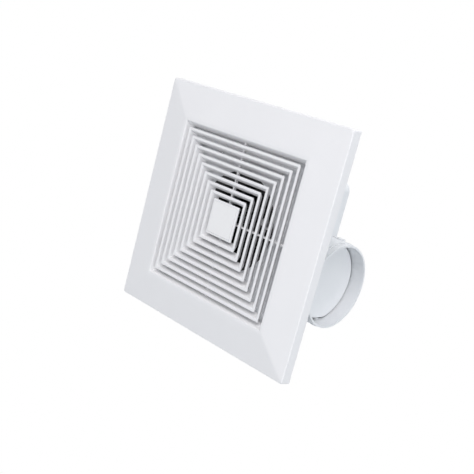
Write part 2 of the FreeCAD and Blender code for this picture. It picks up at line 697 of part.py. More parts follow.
pocket(inlet, inlet_holes, d.inlet_thick)
screws("inlet_screws", post_spots, "XY_Plane", inlet_under, d.small_screw, d.inlet_thick + d.long_bite,
       d.small_head, head_back=True)

# Duct spigot with its collar, pivot bosses and flap stop
spigot = new_body("duct_spigot")
collar_level = shell_right + d.gasket_thick


def collar_outline(body, level):
    return Drawing(body, "YZ_Plane", level).rounded(
        duct_y - collar_half, duct_z - collar_half, duct_y + collar_half,
        duct_z + collar_half, d.collar_corner)


pad(spigot, collar_outline(spigot, collar_level), d.collar_thick)
pad(spigot, Drawing(spigot, "YZ_Plane", collar_level).circle(duct_y, duct_z, d.duct_radius),
    duct_mouth - collar_level)
pad(spigot, Drawing(spigot, "YZ_Plane", collar_level).circle(
    duct_y, duct_z, d.duct_radius + d.duct_step), duct_mouth - d.duct_lip - collar_level)
flap_x = duct_mouth - d.flap_inset
pivot_x = flap_x - d.flap_thick / 2 - d.pivot_back
pivot_z = duct_z + d.pivot_rise
flap_flat = duct_bore - d.flat_inset
boss_in = flap_flat + d.flap_gap
boss_out = d.duct_radius + d.boss_proud
boss_end = pivot_x + d.boss_reach
for side in (-1, 1):
    boss = Drawing(spigot, "XZ_Plane", -(duct_y + side * (duct_bore - d.boss_radius)))
    boss.path([
        (pivot_x, pivot_z - d.boss_radius), (boss_end, pivot_z - d.boss_radius, d.boss_radius),
        (boss_end + d.boss_radius, pivot_z, d.boss_radius), (boss_end, pivot_z + d.boss_radius),
        (pivot_x, pivot_z + d.boss_radius, d.boss_radius), (pivot_x - d.boss_radius, pivot_z, d.boss_radius)])
    pad(spigot, boss, boss_out - duct_bore + d.boss_radius, back=side > 0)
pocket(spigot, Drawing(spigot, "YZ_Plane", duct_mouth).circle(duct_y, duct_z, duct_bore),
       duct_mouth - collar_level)
for side in (-1, 1):
    cheek = Drawing(spigot, "XZ_Plane", -(duct_y + side * boss_in))
    cheek.circle(pivot_x, pivot_z, d.axle_radius * 2.4)
    pad(spigot, cheek, d.duct_radius - boss_in, back=side > 0)
pocket(spigot, Drawing(spigot, "XZ_Plane", -(duct_y + boss_out)).circle(
    pivot_x, pivot_z, d.axle_radius + d.axle_gap), boss_out * 2, along=True)
stop_in, stop_out = duct_bore - d.stop_width, duct_bore + d.duct_wall / 2
stop_front = flap_x - d.flap_thick / 2 - d.screw_gap
stop_y, stop_z = d.stop_angle.sine(), d.stop_angle.cosine()
pad(spigot, Drawing(spigot, "YZ_Plane", stop_front - d.stop_thick).path([
    (duct_y - stop_out * stop_y, duct_z - stop_out * stop_z, stop_out),
    (duct_y + stop_out * stop_y, duct_z - stop_out * stop_z),
    (duct_y + stop_in * stop_y, duct_z - stop_in * stop_z, -stop_in),
    (duct_y - stop_in * stop_y, duct_z - stop_in * stop_z)]), d.stop_thick)
collar_holes = Drawing(spigot, "YZ_Plane", collar_level + d.collar_thick)
for y, z in collar_spots:
    collar_holes.circle(y, z, d.small_screw + d.screw_gap)
pocket(spigot, collar_holes, d.collar_thick)
gasket = new_body("spigot_gasket")
seal = collar_outline(gasket, shell_right).circle(duct_y, duct_z, outlet_radius)
for y, z in collar_spots:
    seal.circle(y, z, d.small_screw + d.screw_gap)
pad(gasket, seal, d.gasket_thick)
screws("spigot_screws", collar_spots, "YZ_Plane", collar_level + d.collar_thick, d.small_screw,
       d.collar_thick + d.gasket_thick + d.short_bite, d.small_head)

# Backdraught flap on its axle
flap = new_body("damper_flap")
flap_radius = duct_bore - d.flap_gap
flat_half = half_chord(flap_radius, flap_flat)
pad(flap, Drawing(flap, "YZ_Plane", flap_x - d.flap_thick / 2).path([
    (duct_y + flap_flat, duct_z - flat_half),
    (duct_y + flap_flat, duct_z + flat_half, flap_radius),
    (duct_y - flap_flat, duct_z + flat_half),
    (duct_y - flap_flat, duct_z - flat_half, flap_radius)]), d.flap_thick)
pad(flap, Drawing(flap, "XZ_Plane", -(duct_y + flap_flat)).circle(
    pivot_x, pivot_z, d.barrel_radius), flap_flat * 2)
pocket(flap, Drawing(flap, "XZ_Plane", -(duct_y + flap_flat)).circle(
    pivot_x, pivot_z, d.axle_radius), flap_flat * 2, along=True)
axle = new_body("damper_axle")
pad(axle, Drawing(axle, "XZ_Plane", -(duct_y + boss_out)).circle(pivot_x, pivot_z, d.axle_radius),
    boss_out * 2)

# Motor: two pressed shields with the stator between them, hung on rubber in the well
sheet_thick = d.motor_sheet
flange_low = shell_height + d.grommet_height
joint_level = flange_low + sheet_thick
stack_low = joint_level - d.stator_height / 2
stack_high = joint_level + d.stator_height / 2
motor_base = stack_low - d.coil_height - d.coil_gap - sheet_thick
crown = stack_high + d.coil_height + d.coil_gap
motor_top = crown + sheet_thick
bearing_length = d.coil_height + d.coil_gap - d.core_over - d.end_play
motor_inner = d.motor_radius - sheet_thick
rim_radius = d.motor_radius + d.motor_rim
collar_radius = d.bearing_radius + sheet_thick

lower = new_body("motor_lower_shield")
bearing_eye = d.shaft_radius + d.end_play
bearing_top = motor_base + sheet_thick + bearing_length
revolve(lower, Drawing(lower, "XZ_Plane").path([
    (bearing_eye, motor_base), (d.motor_radius, motor_base), (d.motor_radius, flange_low),
    (rim_radius, flange_low), (rim_radius, joint_level), (motor_inner, joint_level),
    (motor_inner, motor_base + sheet_thick), (collar_radius, motor_base + sheet_thick),
    (collar_radius, bearing_top), (d.bearing_radius, bearing_top),
    (d.bearing_radius, motor_base + sheet_thick), (bearing_eye, motor_base + sheet_thick)]))
shield_rim = d.motor_radius.value * 5
soften(lower, sheet_thick * 2, lambda edge: lies_at("Z", motor_base)(edge) and edge.Length > shield_rim)
ear = pad(lower, Drawing(lower, level=flange_low).path([
    (-d.ear_half, -d.motor_radius), (-d.ear_half, -ear_radius, d.ear_half),
    (0, -ear_radius - d.ear_half, d.ear_half), (d.ear_half, -ear_radius),
    (d.ear_half, -d.motor_radius)]), sheet_thick)
ear_hole = pocket(lower, Drawing(lower, level=joint_level).circle(0, -ear_radius, d.ear_hole), sheet_thick)
repeat(lower, [ear, ear_hole], 3)

upper = new_body("motor_upper_shield")
revolve(upper, Drawing(upper, "XZ_Plane").path([
    (0, motor_top), (0, crown), (d.bearing_radius, crown), (d.bearing_radius, crown - bearing_length),
    (collar_radius, crown - bearing_length), (collar_radius, crown), (motor_inner, crown),
    (motor_inner, joint_level), (rim_radius, joint_level), (rim_radius, joint_level + sheet_thick),
    (d.motor_radius, joint_level + sheet_thick), (d.motor_radius, motor_top)]))
soften(upper, sheet_thick * 2.5, lies_at("Z", motor_top))
vent_in, vent_half = d.bearing_radius * 2, d.vent_width / 2
vent = pocket(upper, Drawing(upper, level=motor_top).rounded(
    vent_in, -vent_half, vent_in + d.vent_length, vent_half, vent_half * 0.8), sheet_thick)
repeat(upper, [vent], d.vent_count)

stator = new_body("stator_core")
pad(stator, Drawing(stator, level=stack_low).circle(0, 0, motor_inner).circle(0, 0, d.stator_bore),
    d.stator_height)
tooth_gap = d.slot_width / 2
slot = pocket(stator, Drawing(stator, level=stack_high).rectangle(
    d.stator_bore - d.air_gap, -tooth_gap, motor_inner - d.yoke_width, tooth_gap), d.stator_height)
repeat(stator, [slot], d.slot_count)
windings = new_body("stator_windings")
coils = Drawing(windings, "XZ_Plane")
for low, high in ((stack_low - d.coil_height, stack_low), (stack_high, stack_high + d.coil_height)):
    coils.rounded(d.stator_bore + d.coil_gap, low, motor_inner - d.coil_gap, high, d.coil_gap)
revolve(windings, coils)
for label, low in (("lower_bearing", motor_base + sheet_thick), ("upper_bearing", crown - bearing_length)):
    bearing = new_body(label)
    pad(bearing, Drawing(bearing, level=low).circle(0, 0, d.bearing_radius).circle(
        0, 0, d.shaft_radius + d.bearing_gap), bearing_length)

grommets = new_body("motor_grommets")
foot = pad(grommets, Drawing(grommets, level=shell_height).circle(
    0, -ear_radius, d.grommet_flange), d.grommet_height)
neck = pad(grommets, Drawing(grommets, level=flange_low).circle(0, -ear_radius, d.ear_hole), sheet_thick)
cap = pad(grommets, Drawing(grommets, level=joint_level).circle(
    0, -ear_radius, d.grommet_flange), d.grommet_cap)
sleeve = pocket(grommets, Drawing(grommets, level=joint_level + d.grommet_cap).circle(
    0, -ear_radius, d.small_screw + d.screw_gap), d.grommet_height + sheet_thick + d.grommet_cap)
repeat(grommets, [foot, neck, cap, sleeve], 3)
ear_across = ear_radius * as_size(30).cosine()
ear_spots = [(as_size(0), -ear_radius), (ear_across, ear_radius / 2), (-ear_across, ear_radius / 2)]
screws("motor_screws", ear_spots, "XY_Plane", joint_level + d.grommet_cap, d.small_screw,
       d.grommet_height + sheet_thick + d.grommet_cap + d.long_bite, d.small_head * 1.4)

# Rotor: shaft, core, blower wheel and its nut
wheel_top = well_under - d.wheel_gap
wheel_low = lip_top - d.lip_overlap
hub_low = wheel_top - d.hub_length
thread_low = hub_low - d.washer_thick * 2 - d.nut_height
shaft = new_body("motor_shaft")
revolve(shaft, Drawing(shaft, "XZ_Plane").path([
    (0, thread_low), (d.thread_radius, thread_low), (d.thread_radius, hub_low), (d.shaft_radius, hub_low),
    (d.shaft_radius, crown - d.screw_gap), (0, crown - d.screw_gap)]))
core = new_body("rotor_core")
pad(core, Drawing(core, level=stack_low - d.core_over).circle(0, 0, d.stator_bore - d.air_gap).circle(
    0, 0, d.shaft_radius), d.stator_height + d.core_over * 2)

wheel = new_body("impeller")
disc_low = wheel_top - d.disc_thick
ring_in = d.wheel_radius - d.ring_width
revolve(wheel, Drawing(wheel, "XZ_Plane").path([
    (d.shaft_radius, hub_low), (d.hub_radius, hub_low), (d.hub_radius, disc_low - d.hub_flare),
    (d.hub_radius + d.hub_flare, disc_low), (d.wheel_radius, disc_low), (d.wheel_radius, wheel_top),
    (d.shaft_radius, wheel_top)]))
blade_root = d.wheel_radius - d.blade_depth
tip_x, tip_y = d.wheel_radius - d.blade_thick, -d.blade_sweep
blade = pad(wheel, Drawing(wheel, level=wheel_low + d.ring_height / 2).path([
    (blade_root, 0, -d.blade_curve), (tip_x, tip_y), (tip_x + d.blade_thick / 2, tip_y + d.blade_thick,
     d.blade_curve + d.blade_thick), (blade_root, d.blade_thick)]),
    wheel_top - wheel_low - d.ring_height / 2 - d.disc_thick / 2)
repeat(wheel, [blade], d.blade_count)
revolve(wheel, Drawing(wheel, "XZ_Plane").rectangle(
    ring_in, wheel_low, d.wheel_radius, wheel_low + d.ring_height))

washer = new_body("impeller_washer")
pad(washer, Drawing(washer, level=hub_low - d.washer_thick).circle(0, 0, d.washer_radius).circle(
    0, 0, d.thread_radius + d.screw_gap), d.washer_thick)
nut = new_body("impeller_nut")
nut_high = hub_low - d.washer_thick
flat, corner = d.nut_width / 2, d.nut_width / 2 * as_size(30).sine() / as_size(30).cosine()
pad(nut, Drawing(nut, level=nut_high - d.nut_height).path([
    (flat, -corner), (flat, corner), (0, corner * 2), (-flat, corner), (-flat, -corner), (0, -corner * 2)
    ]).circle(0, 0, d.thread_radius), d.nut_height)

# Terminal box on the housing top
box = new_body("terminal_box")
box_floor = shell_height + d.box_wall
box_top = shell_height + d.box_height


def box_outline(body, level, inset, corner):
    return Drawing(body, level=level).rounded(
        box_left + inset, box_low + inset, box_right - inset, box_high - inset, corner)


pad(box, box_outline(box, shell_height, as_size(0), d.box_corner), d.box_height)
pocket(box, box_outline(box, box_top, d.box_wall, d.box_corner - d.box_wall), d.box_height - d.box_wall)
lid_inset = d.box_wall + d.small_head
lid_spots = [(box_left + lid_inset, box_low + lid_inset), (box_right - lid_inset, box_high - lid_inset)]
lid_posts = Drawing(box, level=box_floor)
lid_pilots = Drawing(box, level=box_top)
for x, y in lid_spots:
    lid_posts.rectangle(x - d.small_head, y - d.small_head, x + d.small_head, y + d.small_head)
    lid_pilots.circle(x, y, d.small_screw)
pad(box, lid_posts, d.box_height - d.box_wall)
pocket(box, lid_pilots, d.long_bite + d.lid_thick)
floor_holes = Drawing(box, level=box_floor).circle(*wire_hole, d.lead_hole)
for x, y in box_spots:
    floor_holes.circle(x, y, d.small_screw + d.screw_gap)
pocket(box, floor_holes, d.box_wall)
cable_z = shell_height + d.cable_rise
neck_radius = d.cable_radius + d.grommet_wall
pocket(box, Drawing(box, "YZ_Plane", box_left).circle(box_y, cable_z, neck_radius), d.box_wall, along=True)
screws("box_screws", box_spots, "XY_Plane", box_floor, d.small_screw, d.box_wall + d.short_bite, d.small_head)

lid = new_body("terminal_lid")
pad(lid, box_outline(lid, box_top, as_size(0), d.box_corner), d.lid_thick)
lid_top = box_top + d.lid_thick
soften(lid, d.lid_thick * 0.4, lies_at("Z", lid_top))
rim_out, rim_in = d.box_wall + d.fit_gap, d.box_wall * 1.75
rim_left, rim_right = box_left + box_corner + d.small_head, box_right - box_corner - d.small_head
rims = Drawing(lid, level=box_top)
rims.rectangle(rim_left, box_low + rim_out, rim_right, box_low + rim_in)
rims.rectangle(rim_left, box_high - rim_in, rim_right, box_high - rim_out)
pad(lid, rims, d.lid_skirt, back=True)
lid_holes = Drawing(lid, level=lid_top)
for x, y in lid_spots:
    lid_holes.circle(x, y, d.small_screw + d.screw_gap)
pocket(lid, lid_holes, d.lid_thick)
screws("lid_screws", lid_spots, "XY_Plane", lid_top, d.small_screw, d.lid_thick + d.long_bite, d.small_head)

block = new_body("terminal_block")
block_x, block_y = box_x + d.box_wall, box_y + d.box_width / 5
block_long, block_wide, block_high = d.box_length / 4, d.box_width * 0.15, d.box_height * 0.42
pad(block, Drawing(block, level=box_floor).rectangle(
    block_x - block_long, block_y - block_wide, block_x + block_long, block_y + block_wide), block_high)
terminals = Drawing(block, level=box_floor + block_high)
entries = Drawing(block, "XZ_Plane", -(block_y + block_wide))
for way in (-1, 0, 1):
    terminals.circle(block_x + way * block_long * 0.6, block_y, block_wide / 3)
    entries.circle(block_x + way * block_long * 0.6, box_floor + block_high * 0.35, block_wide * 0.3)
pocket(block, terminals, block_high * 0.45)
pocket(block, entries, block_wide * 2, along=True)
capacitor = new_body("run_capacitor")
case_y, case_half = box_y - d.box_width * 0.275, d.box_length * 0.3
case = Drawing(capacitor, level=box_floor).rounded(
    box_x - case_half, case_y - block_wide, box_x + case_half, case_y + block_wide, block_wide / 3)
pad(capacitor, case, d.box_height * 0.7)

grommet = new_body("cable_grommet")
gland_out, gland_in = d.cable_collar, d.cable_collar * 0.7
for start, length, radius in (
        (box_left - gland_out, gland_out, neck_radius + d.grommet_wall),
        (box_left, d.box_wall, neck_radius),
        (box_left + d.box_wall, gland_in, neck_radius + d.grommet_wall * 0.7)):
    pad(grommet, Drawing(grommet, "YZ_Plane", start).circle(box_y, cable_z, radius), length)
pocket(grommet, Drawing(grommet, "YZ_Plane", box_left - gland_out).circle(box_y, cable_z, d.cable_radius),
       gland_out + d.box_wall + gland_in, along=True)

# Check every object, then write one STEP file per part
doc.recompute()
os.makedirs("parts", exist_ok=True)
for item in doc.Objects:
    if "Invalid" in item.State or "Error" in item.State:
        raise RuntimeError(f"{item.Label} did not build: {item.State}")
for body in (item for item in doc.Objects if item.isDerivedFrom("PartDesign::Body")):
    shape = body.Shape
    if shape.isNull() or not shape.isValid() or not shape.Solids:
        raise RuntimeError(f"{body.Label} has no valid solid")
    shape.exportStep(f"parts/{body.Label}.step")
    print(f"{body.Label}: {len(shape.Solids)} solid(s), {shape.Volume / 1000:.2f} cm3")
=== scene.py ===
# %% [markdown]
# # A ceiling exhaust fan
# The fan hangs with its louvred panel facing down into the room and its housing up in the ceiling
# void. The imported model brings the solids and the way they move. This lesson adds what makes them
# look real: light, finishes, and the small forms of moulded plastic, rubber and foam. Lengths are
# metres, as everywhere in Blender, but the sizes of new pieces are millimetres, which `MM` converts.

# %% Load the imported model
import json
import math

import bmesh
import bpy
from mathutils import Matrix, Vector


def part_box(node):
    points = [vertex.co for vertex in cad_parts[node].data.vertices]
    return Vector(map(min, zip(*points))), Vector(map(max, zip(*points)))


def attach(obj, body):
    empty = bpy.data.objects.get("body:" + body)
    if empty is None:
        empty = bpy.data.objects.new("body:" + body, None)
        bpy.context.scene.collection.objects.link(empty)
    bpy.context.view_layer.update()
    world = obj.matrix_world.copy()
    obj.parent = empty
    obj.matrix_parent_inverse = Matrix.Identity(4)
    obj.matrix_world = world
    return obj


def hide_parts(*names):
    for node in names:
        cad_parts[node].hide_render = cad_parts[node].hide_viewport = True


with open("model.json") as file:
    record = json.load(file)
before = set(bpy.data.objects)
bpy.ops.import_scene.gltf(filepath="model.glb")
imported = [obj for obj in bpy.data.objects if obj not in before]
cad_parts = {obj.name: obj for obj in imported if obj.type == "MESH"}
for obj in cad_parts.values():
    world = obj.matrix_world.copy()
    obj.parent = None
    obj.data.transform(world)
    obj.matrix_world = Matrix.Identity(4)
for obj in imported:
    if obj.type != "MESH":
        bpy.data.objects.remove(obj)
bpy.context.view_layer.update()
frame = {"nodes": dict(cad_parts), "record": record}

nodes = frame["nodes"]

# %% [markdown]
# ## The camera
# The photograph was taken from below the panel, on the duct's side, with the fan turned in the
# picture. A camera can be aimed at a point by a constraint, but that leaves its turn about the line
# of sight open. The place and the picture's two directions were found by matching the panel's
# corners, the grille's corners and the duct's mouth, so they are given directly as a matrix.
# A lens of 62 mm on a 36 mm square frame is a quiet product lens with little perspective.

# %% Camera
EYE = Vector((0.6197, -0.1632, -0.6878))
TO_RIGHT = Vector((0.69258, -0.25300, 0.67551))
TO_TOP = Vector((-0.31518, -0.94849, -0.03210))
LENS_MM = 61.95
SENSOR_MM = 36
NEAREST = 0.01

camera = bpy.data.objects.new("camera", bpy.data.cameras.new("camera"))
bpy.context.scene.collection.objects.link(camera)
turn = Matrix((TO_RIGHT, TO_TOP, TO_RIGHT.cross(TO_TOP))).transposed().to_4x4()
camera.matrix_world = Matrix.Translation(EYE) @ turn
camera.data.sensor_width = SENSOR_MM
camera.data.lens = LENS_MM
camera.data.clip_start = NEAREST
bpy.context.scene.camera = camera
bpy.context.scene.view_settings.view_transform = "Standard"
print("camera", round(EYE.length, 3), "m from the middle of the ceiling plane")

# %% [markdown]
# ## A socket that takes part in sums
# A finish is mostly arithmetic on noise. Nodes can be added and linked one by one, but the sum is then
# hard to see, and as Python it reads well. `Signal` wraps an output socket: `+`, `-` and `*` add Math
# nodes, and `node` adds any other node, with its settings first and then its sockets' values or links.
# A Mix node has sockets of the same name for numbers, vectors and colours, so those go by their place.

# %% Shader helper
MIX_FACTOR = 0
MIX_LOW = 6
MIX_HIGH = 7
MIX_COLOUR = 2


class Signal:
    """An output socket that takes part in sums, or only a node tree to start from."""

    def __init__(self, tree, socket=None):
        self.tree = tree
        self.socket = socket

    def node(self, kind, settings=None, sockets=None, output=0):
        made = self.tree.nodes.new(kind)
        for name, value in (settings or {}).items():
            setattr(made, name, value)
        for name, value in (sockets or {}).items():
            if isinstance(value, Signal):
                self.tree.links.new(value.socket, made.inputs[name])
            else:
                made.inputs[name].default_value = value
        return Signal(self.tree, made.outputs[output] if len(made.outputs) else None)

    def math(self, operation, first, second):
        return self.node("ShaderNodeMath", {"operation": operation}, {0: first, 1: second})

    def __add__(self, other):
        return self.math("ADD", self, other)

    def __radd__(self, other):
        return self.math("ADD", other, self)

    def __sub__(self, other):
        return self.math("SUBTRACT", self, other)

    def __rsub__(self, other):
        return self.math("SUBTRACT", other, self)

    def __mul__(self, other):
        return self.math("MULTIPLY", self, other)

    def __rmul__(self, other):
        return self.math("MULTIPLY", other, self)

    def larger(self, other):
        return self.math("MAXIMUM", self, other)

    def blend(self, low, high):
        """The colour low where this is 0 and high where it is 1."""
        return self.node("ShaderNodeMix", {"data_type": "RGBA"}, {
            MIX_FACTOR: self, MIX_LOW: (*low, 1), MIX_HIGH: (*high, 1)}, MIX_COLOUR)


print("Signal ready")

# %% [markdown]
# ## Room light and background
# The picture's ground is pure white and shows no shadow. More light would whiten it, and bleach the fan
# as well. So the world and the floor are plain white only to the camera and to reflections, and what
# they shed on the fan is softer: a slightly cool sky, and a pale floor a room's height below, which
# sends a little light up at the panel as a real floor does.

# %% World and floor
FLOOR_LEVEL = -2.4
FLOOR_REACH = 12
FLOOR_GREY = (0.82, 0.82, 0.82, 1)
SKY = (0.85, 0.93, 1.0, 1)
SKY_STRENGTH = 0.42
WHITE = (1, 1, 1, 1)
WHITE_STRENGTH = 1.0


def white_to_the_eye(lit, plain):
    """The plain white shader for camera, mirror and glass rays, and the lit one for all others."""
    rays = [lit.node("ShaderNodeLightPath", output=kind)
            for kind in ("Is Camera Ray", "Is Glossy Ray", "Is Transmission Ray")]
    seen = rays[0].larger(rays[1]).larger(rays[2])
    return lit.node("ShaderNodeMixShader", None, {0: seen, 1: lit, 2: plain})


world = bpy.data.worlds.new("white_studio")
bpy.context.scene.world = world
world.use_nodes = True
world.node_tree.nodes.clear()
sky = Signal(world.node_tree).node(
    "ShaderNodeBackground", None, {"Color": SKY, "Strength": SKY_STRENGTH})
ground = sky.node("ShaderNodeBackground", None, {"Color": WHITE, "Strength": WHITE_STRENGTH})
sky.node("ShaderNodeOutputWorld", None, {"Surface": white_to_the_eye(sky, ground)})

floor_paint = bpy.data.materials.new("floor_paint")
floor_paint.use_nodes = True
floor_paint.node_tree.nodes.clear()
matt = Signal(floor_paint.node_tree).node("ShaderNodeBsdfDiffuse", None, {"Color": FLOOR_GREY})
plain = matt.node("ShaderNodeEmission", None, {"Color": WHITE, "Strength": WHITE_STRENGTH})
matt.node("ShaderNodeOutputMaterial", None, {"Surface": white_to_the_eye(matt, plain)})

sheet = bmesh.new()
bmesh.ops.create_grid(sheet, x_segments=1, y_segments=1, size=FLOOR_REACH,
                      matrix=Matrix.Translation((0, 0, FLOOR_LEVEL)))
floor = bpy.data.objects.new("floor", bpy.data.meshes.new("floor"))
sheet.to_mesh(floor.data)
sheet.free()
floor.data.materials.append(floor_paint)
bpy.context.scene.collection.objects.link(floor)
print("floor", -FLOOR_LEVEL, "m below the ceiling plane")

# %% [markdown]
# ## Lamps
# A point lamp would throw hard shadows between the slats, so these are soft boxes, as in a product
# studio. The front lamp near the floor lights the panel squarely. The key lamp comes in at a slant from
# the side of the panel's top and right edges in the picture, which makes those two sloping faces of the
# frame the lighter ones. The side lamp stands level with the ceiling plane and faces the duct, a weak
# fill answers the key from the other side, and two lamps in the ceiling void light the housing.

# %% Lamps
FRONT_TINT = (1.0, 0.985, 0.985)
KEY_TINT = (1.0, 0.97, 0.975)
SIDE_TINT = (0.97, 0.98, 1.0)
COOL_TINT = (0.95, 0.97, 1.0)
NO_TINT = (1, 1, 1)


def soft_box(name, place, width, watts, tint):
    """A round area lamp at a place, aimed at the middle of the ceiling plane."""
    lamp = bpy.data.lights.new(name, "AREA")
    lamp.shape = "DISK"
    lamp.size = width
    lamp.energy = watts
    lamp.color = tint
    stand = bpy.data.objects.new(name, lamp)
    stand.location = place
    stand.rotation_euler = (-Vector(place)).to_track_quat("-Z", "Y").to_euler()
    bpy.context.scene.collection.objects.link(stand)
    return stand


lamps = [
    soft_box("front_lamp", place=(0.10, 0.0, -2.2), width=1.6, watts=6.5, tint=FRONT_TINT),
    soft_box("key_lamp", place=(0.61, -1.52, -0.95), width=1.9, watts=24.5, tint=KEY_TINT),
    soft_box("side_lamp", place=(1.60, 0.10, 0.02), width=1.0, watts=8.0, tint=SIDE_TINT),
    soft_box("fill_lamp", place=(0.05, 1.05, -1.30), width=1.2, watts=4.5, tint=COOL_TINT),
    soft_box("void_lamp", place=(-0.30, -1.30, 1.30), width=1.2, watts=7, tint=NO_TINT),
    soft_box("void_fill", place=(-1.30, 0.90, 1.10), width=1.2, watts=9, tint=COOL_TINT),
]
print(len(lamps), "lamps")

# %% [markdown]
# ## From noise to a finish
# No real surface has one flat colour. A painted picture could vary it, but would need an unwrapped
# mesh and a file. Noise on Object coordinates needs neither, and its lumps keep their size in metres
# whatever the piece. It shifts colour and roughness and, through a Bump node, the shading.

# %% Finish helpers
NOISE_ROUGHNESS = 0.55
NOISE_DETAIL = 2.0
MEAN = 0.5
BUMP_STRENGTH = 1.0


def finish(name):
    """A material with no nodes, a Signal to add some with, and its Object coordinates."""
    made = bpy.data.materials.new(name)
    made.use_nodes = True
    made.node_tree.nodes.clear()
    start = Signal(made.node_tree)
    return made, start, start.node("ShaderNodeTexCoord", output="Object")


def noise(place, cell, detail=NOISE_DETAIL, stretch=None):
    """Noise whose lumps are about cell metres across, over a stretched space if asked."""
    if stretch:
        place = place.node("ShaderNodeMapping", None, {"Vector": place, "Scale": stretch})
    return place.node("ShaderNodeTexNoise", None, {
        "Vector": place, "Scale": 1 / cell, "Detail": detail, "Roughness": NOISE_ROUGHNESS})


def surface(made, start, sockets, height, depth):
    """The Principled shader with these sockets, and a bump of that depth in metres."""
    bump = start.node("ShaderNodeBump", None, {
        "Height": height, "Distance": depth, "Strength": BUMP_STRENGTH})
    shader = start.node("ShaderNodeBsdfPrincipled", None, {**sockets, "Normal": bump})
    start.node("ShaderNodeOutputMaterial", None, {"Surface": shader})
    return made


print("finish helpers ready")

# %% [markdown]
# ## White mouldings
# Panel, housing, duct spigot, flap and terminal block are injection-moulded plastic. Up close the mould
# leaves a fine spark-eroded grain, and over a few centimetres the gloss wanders a little where the
# plastic cooled unevenly. The broad noise shifts colour and roughness by a few parts in a hundred, and
# the fine one makes the grain. One recipe serves all of them, with its own white and grain for each.

# %% White mouldings
COOLING_PATCH = 0.045
COOLING_DETAIL = 3.0
COOLING_SHADES = (0.972, 1.012)
COOLING_SWING = 0.10
GRAIN_SWING = 0.08
WHITE_SPECULAR = 0.5


def white_moulding(name, colour, roughness, grain, depth):
    made, start, place = finish(name)
    cooling = noise(place, COOLING_PATCH, COOLING_DETAIL)
    fine = noise(place, grain)
    shades = [[channel * shade for channel in colour] for shade in COOLING_SHADES]
    return surface(made, start, {
        "Base Color": cooling.blend(*shades),
        "Roughness": roughness + (cooling - MEAN) * COOLING_SWING + (fine - MEAN) * GRAIN_SWING,
        "Specular IOR Level": WHITE_SPECULAR}, fine, depth)


panel_white = white_moulding(
    "panel_white", (0.866, 0.858, 0.866), roughness=0.48, grain=0.0007, depth=0.00002)
housing_white = white_moulding(
    "housing_white", (0.83, 0.84, 0.855), roughness=0.50, grain=0.0011, depth=0.00002)
flap_white = white_moulding(
    "flap_white", (0.84, 0.85, 0.865), roughness=0.44, grain=0.0009, depth=0.00003)
badge_white = white_moulding(
    "badge_white", (0.89, 0.882, 0.88), roughness=0.30, grain=0.0006, depth=0.00001)
block_white = white_moulding(
    "block_white", (0.72, 0.72, 0.68), roughness=0.48, grain=0.0009, depth=0.00004)
print("white mouldings:", panel_white.name, housing_white.name, flap_white.name)

# %% [markdown]
# ## Black mouldings, paint, rubber and foam
# The blower wheel, the terminal box and the capacitor are dark plastics with a coarser grain, and the
# motor's shields have stoved paint. Rubber is rougher and greyer at its high spots, and foam shows its
# cut cells. Each could have its own node tree, but they differ only in grain and contrast, so they
# share one recipe: a dark colour, and a paler worn one where broad and fine noise add up.

# %% Dark finishes
WEAR_PATCH = 0.02
WEAR_DETAIL = 4.0
DARK_GRAIN_DETAIL = 3.0
PATCH_SHARE = 0.6
GRAIN_SHARE = 0.4
WEAR_START = 0.25
WEAR_CONTRAST = 1.4
DARK_GRAIN_SWING = 0.22
DARK_SPECULAR = 0.45


def dark_moulding(name, colour, worn, roughness, grain, depth):
    made, start, place = finish(name)
    broad = noise(place, WEAR_PATCH, WEAR_DETAIL)
    fine = noise(place, grain, DARK_GRAIN_DETAIL)
    wear = (broad * PATCH_SHARE + fine * GRAIN_SHARE - WEAR_START) * WEAR_CONTRAST
    return surface(made, start, {
        "Base Color": wear.blend(colour, worn),
        "Roughness": roughness + (fine - MEAN) * DARK_GRAIN_SWING,
        "Specular IOR Level": DARK_SPECULAR}, fine, depth)


wheel_black = dark_moulding("wheel_black", (0.012, 0.012, 0.013), (0.035, 0.035, 0.036),
                            roughness=0.42, grain=0.0016, depth=0.00006)
box_black = dark_moulding("box_black", (0.026, 0.026, 0.028), (0.050, 0.050, 0.052),
                          roughness=0.46, grain=0.0009, depth=0.00006)
shield_paint = dark_moulding("shield_paint", (0.022, 0.022, 0.024), (0.040, 0.040, 0.042),
                             roughness=0.34, grain=0.0022, depth=0.00005)
grommet_rubber = dark_moulding("grommet_rubber", (0.017, 0.017, 0.017), (0.050, 0.048, 0.046),
                               roughness=0.68, grain=0.0010, depth=0.00008)
gasket_foam = dark_moulding("gasket_foam", (0.07, 0.07, 0.075), (0.20, 0.20, 0.21),
                            roughness=0.85, grain=0.0008, depth=0.00020)
capacitor_case = dark_moulding("capacitor_case", (0.16, 0.16, 0.17), (0.24, 0.24, 0.25),
                               roughness=0.45, grain=0.0011, depth=0.00005)
print("dark finishes ready")

# %% [markdown]
# ## Metals
# Screws, springs and the shaft are zinc plated: a bright metal whose gloss is mottled by the
# passivation, drawn out along the wire of the springs. The bearings are porous bronze. Laminated cores
# show the edges of their steel sheets as fine lines across the stack, and the windings the lie of the
# wire. Modelling every sheet or turn would cost thousands of faces, and a Wave texture draws them.

# %% Metal finishes
METAL = 1.0
MOTTLE_DETAIL = 4.0
MOTTLE_SWING = 0.24
MOTTLE_DEPTH = 0.00002
ALONG_WIRE = (1, 1, 0.15)
WAVE_PERIOD = 0.314
WAVE_WANDER = 0.6
WAVE_DETAIL = 1.0
STRIPE_PATCH = 0.006
STRIPE_DETAIL = 3.0
STRIPE_SHARE = 0.7
STRIPE_PATCH_SHARE = 0.3
STRIPE_SWING = 0.2
STRIPE_DEPTH = 0.00012


